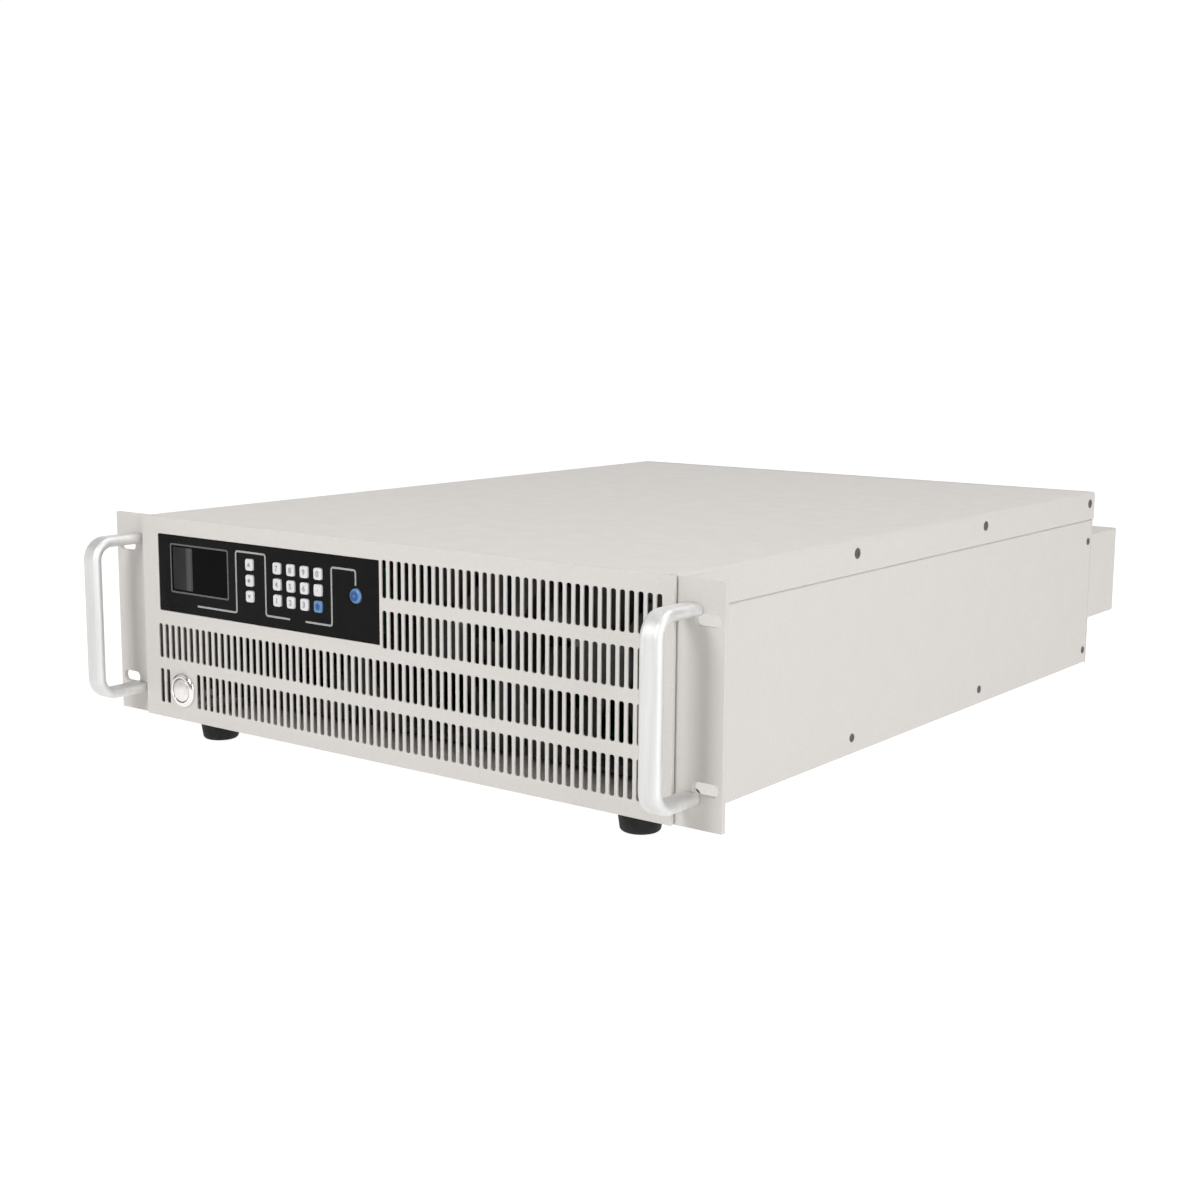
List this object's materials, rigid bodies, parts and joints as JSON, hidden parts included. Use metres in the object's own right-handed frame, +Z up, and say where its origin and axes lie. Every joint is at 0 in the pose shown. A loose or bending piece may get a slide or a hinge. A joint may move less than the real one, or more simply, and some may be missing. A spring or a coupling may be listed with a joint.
{
  "type": "rack battery unit",
  "caption": "Rack-mount battery unit with a slotted front grille, keypad and display, bow handles, rack ears, rubber feet and a covered rear terminal box.",
  "frame": {"origin": "on the surface that the feet stand on, under the middle of the whole unit's box", "axes": "+X to the viewer's right when facing the front panel, +Y from the front panel to the rear, +Z up"},
  "size_m": [0.4826, 0.656, 0.1485],
  "materials": {
    "case_paint": "warm light grey powder coat with a very fine texture",
    "ear_paint": "warm light grey powder coat",
    "satin_aluminium": "satin clear anodised",
    "foot_rubber": "matt black moulded rubber",
    "control_overlay": "black panel, semi gloss, with thin grey guide lines",
    "display_glass": "dark display window, glossy",
    "display_body": "black moulded frame",
    "circuit_board": "green solder mask",
    "white_key": "light grey moulded key caps",
    "blue_key": "blue moulded key caps",
    "button_steel": "polished and satin steel",
    "black_plastic": "black glass-filled plastic",
    "zinc_sheet": "zinc plated sheet",
    "fuse_ceramic": "white ceramic body",
    "cell_case": "blue insulating film on aluminium cans",
    "copper": "bare copper strip"
  },
  "bodies": {
    "chassis": {"base_tray": "case_paint", "top_lid": "case_paint", "rear_panel": "case_paint", "terminal_cover": "case_paint", "front_grille": "case_paint", "rack_ear_left": "ear_paint", "rack_ear_right": "ear_paint", "handle_left": "satin_aluminium", "handle_right": "satin_aluminium", "heatsink": "satin_aluminium", "foot_front_left": "foot_rubber", "foot_front_right": "foot_rubber", "foot_rear_left": "foot_rubber", "foot_rear_right": "foot_rubber", "control_panel": "control_overlay", "display_lens": "display_glass", "display_module": "display_body", "control_board": "circuit_board", "power_board": "circuit_board", "battery_monitor_board": "circuit_board", "power_button_bezel": "button_steel", "power_button_nut": "button_steel", "power_switch": "black_plastic", "fan_frame_left": "black_plastic", "fan_frame_middle": "black_plastic", "fan_frame_right": "black_plastic", "terminal_block": "black_plastic", "comms_socket": "black_plastic", "contactor": "black_plastic", "fan_bulkhead": "zinc_sheet", "main_fuse": "fuse_ceramic", "battery_module_left_front": "cell_case", "battery_module_left_rear": "cell_case", "battery_module_right_front": "cell_case", "battery_module_right_rear": "cell_case", "module_link_left": "copper", "module_link_middle": "copper", "module_link_right": "copper", "output_bar_positive": "copper", "output_bar_negative": "copper"},
    "soft_key_1_body": {"soft_key_1": "white_key"},
    "soft_key_2_body": {"soft_key_2": "white_key"},
    "soft_key_3_body": {"soft_key_3": "white_key"},
    "keypad_key_1_body": {"keypad_key_1": "white_key"},
    "keypad_key_2_body": {"keypad_key_2": "white_key"},
    "keypad_key_3_body": {"keypad_key_3": "white_key"},
    "keypad_key_4_body": {"keypad_key_4": "white_key"},
    "keypad_key_5_body": {"keypad_key_5": "white_key"},
    "keypad_key_6_body": {"keypad_key_6": "white_key"},
    "keypad_key_7_body": {"keypad_key_7": "white_key"},
    "keypad_key_8_body": {"keypad_key_8": "white_key"},
    "keypad_key_9_body": {"keypad_key_9": "white_key"},
    "keypad_key_10_body": {"keypad_key_10": "white_key"},
    "keypad_key_11_body": {"keypad_key_11": "white_key"},
    "keypad_key_12_body": {"keypad_key_12": "blue_key"},
    "run_key_body": {"run_key": "blue_key"},
    "power_button_body": {"power_button_cap": "button_steel"},
    "fan_left_body": {"fan_rotor_left": "black_plastic"},
    "fan_middle_body": {"fan_rotor_middle": "black_plastic"},
    "fan_right_body": {"fan_rotor_right": "black_plastic"}
  },
  "joints": [
    {"name": "soft_key_1_press", "type": "slide", "parent": "chassis", "child": "soft_key_1_body", "axis": [0, 1, 0], "range_m": [0, 0.0008], "stiffness_N_per_m": 300, "springref_m": -0.001},
    {"name": "soft_key_2_press", "type": "slide", "parent": "chassis", "child": "soft_key_2_body", "axis": [0, 1, 0], "range_m": [0, 0.0008], "stiffness_N_per_m": 300, "springref_m": -0.001},
    {"name": "soft_key_3_press", "type": "slide", "parent": "chassis", "child": "soft_key_3_body", "axis": [0, 1, 0], "range_m": [0, 0.0008], "stiffness_N_per_m": 300, "springref_m": -0.001},
    {"name": "keypad_key_1_press", "type": "slide", "parent": "chassis", "child": "keypad_key_1_body", "axis": [0, 1, 0], "range_m": [0, 0.0008], "stiffness_N_per_m": 300, "springref_m": -0.001},
    {"name": "keypad_key_2_press", "type": "slide", "parent": "chassis", "child": "keypad_key_2_body", "axis": [0, 1, 0], "range_m": [0, 0.0008], "stiffness_N_per_m": 300, "springref_m": -0.001},
    {"name": "keypad_key_3_press", "type": "slide", "parent": "chassis", "child": "keypad_key_3_body", "axis": [0, 1, 0], "range_m": [0, 0.0008], "stiffness_N_per_m": 300, "springref_m": -0.001},
    {"name": "keypad_key_4_press", "type": "slide", "parent": "chassis", "child": "keypad_key_4_body", "axis": [0, 1, 0], "range_m": [0, 0.0008], "stiffness_N_per_m": 300, "springref_m": -0.001},
    {"name": "keypad_key_5_press", "type": "slide", "parent": "chassis", "child": "keypad_key_5_body", "axis": [0, 1, 0], "range_m": [0, 0.0008], "stiffness_N_per_m": 300, "springref_m": -0.001},
    {"name": "keypad_key_6_press", "type": "slide", "parent": "chassis", "child": "keypad_key_6_body", "axis": [0, 1, 0], "range_m": [0, 0.0008], "stiffness_N_per_m": 300, "springref_m": -0.001},
    {"name": "keypad_key_7_press", "type": "slide", "parent": "chassis", "child": "keypad_key_7_body", "axis": [0, 1, 0], "range_m": [0, 0.0008], "stiffness_N_per_m": 300, "springref_m": -0.001},
    {"name": "keypad_key_8_press", "type": "slide", "parent": "chassis", "child": "keypad_key_8_body", "axis": [0, 1, 0], "range_m": [0, 0.0008], "stiffness_N_per_m": 300, "springref_m": -0.001},
    {"name": "keypad_key_9_press", "type": "slide", "parent": "chassis", "child": "keypad_key_9_body", "axis": [0, 1, 0], "range_m": [0, 0.0008], "stiffness_N_per_m": 300, "springref_m": -0.001},
    {"name": "keypad_key_10_press", "type": "slide", "parent": "chassis", "child": "keypad_key_10_body", "axis": [0, 1, 0], "range_m": [0, 0.0008], "stiffness_N_per_m": 300, "springref_m": -0.001},
    {"name": "keypad_key_11_press", "type": "slide", "parent": "chassis", "child": "keypad_key_11_body", "axis": [0, 1, 0], "range_m": [0, 0.0008], "stiffness_N_per_m": 300, "springref_m": -0.001},
    {"name": "keypad_key_12_press", "type": "slide", "parent": "chassis", "child": "keypad_key_12_body", "axis": [0, 1, 0], "range_m": [0, 0.0008], "stiffness_N_per_m": 300, "springref_m": -0.001},
    {"name": "run_key_press", "type": "slide", "parent": "chassis", "child": "run_key_body", "axis": [0, 1, 0], "range_m": [0, 0.0008], "stiffness_N_per_m": 300, "springref_m": -0.001},
    {"name": "power_button_press", "type": "slide", "parent": "chassis", "child": "power_button_body", "axis": [0, 1, 0], "range_m": [0, 0.0025], "stiffness_N_per_m": 800, "springref_m": -0.002},
    {"name": "fan_left_spin", "type": "hinge", "parent": "chassis", "child": "fan_left_body", "pos_m": [-0.125, -0.24395, 0.0822], "axis": [0, 1, 0], "continuous": true},
    {"name": "fan_middle_spin", "type": "hinge", "parent": "chassis", "child": "fan_middle_body", "pos_m": [0, -0.24395, 0.0822], "axis": [0, 1, 0], "continuous": true},
    {"name": "fan_right_spin", "type": "hinge", "parent": "chassis", "child": "fan_right_body", "pos_m": [0.125, -0.24395, 0.0822], "axis": [0, 1, 0], "continuous": true}
  ]
}
